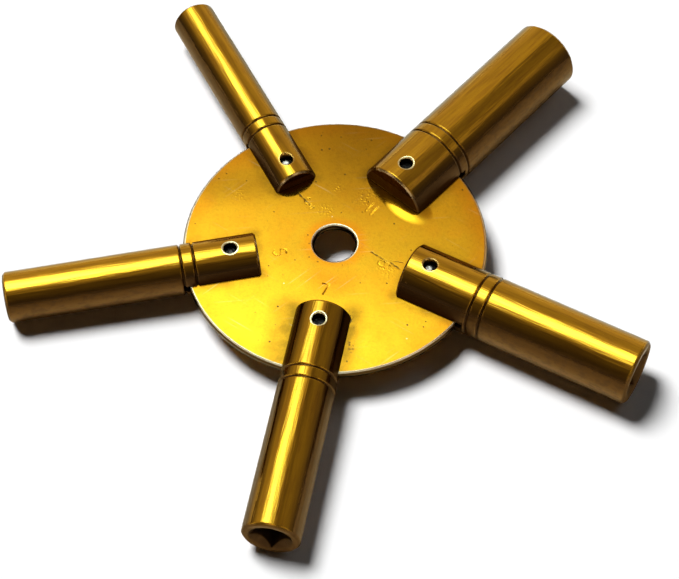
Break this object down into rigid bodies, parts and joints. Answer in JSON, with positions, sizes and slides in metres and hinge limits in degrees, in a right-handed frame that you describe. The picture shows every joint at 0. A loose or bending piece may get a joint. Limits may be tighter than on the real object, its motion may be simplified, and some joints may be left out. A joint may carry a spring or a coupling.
{
  "type": "clock winding key",
  "caption": "Star-shaped clock winding key: a flat brass disc carries turned barrels, slotted and cross-pinned on, each with a square socket of another size.",
  "frame": {"origin": "centre of the disc's hole, at half the disc's thickness", "axes": "+Z along the disc's axis, towards the face seen in the picture; the No. 7 barrel's pin stands on -Y"},
  "size_m": [0.0882, 0.0861, 0.01],
  "materials": {
    "disc_brass": "polished flat stock, lightly scratched",
    "barrel_brass": "bright turned",
    "pin_steel": "plain drawn wire, cut and dressed"
  },
  "bodies": {
    "root": {"hub_disc": "disc_brass", "barrel_no3": "barrel_brass", "barrel_no5": "barrel_brass", "barrel_no7": "barrel_brass", "barrel_no9": "barrel_brass", "barrel_no11": "barrel_brass", "pin_no3": "pin_steel", "pin_no5": "pin_steel", "pin_no7": "pin_steel", "pin_no9": "pin_steel", "pin_no11": "pin_steel"}
  },
  "joints": []
}
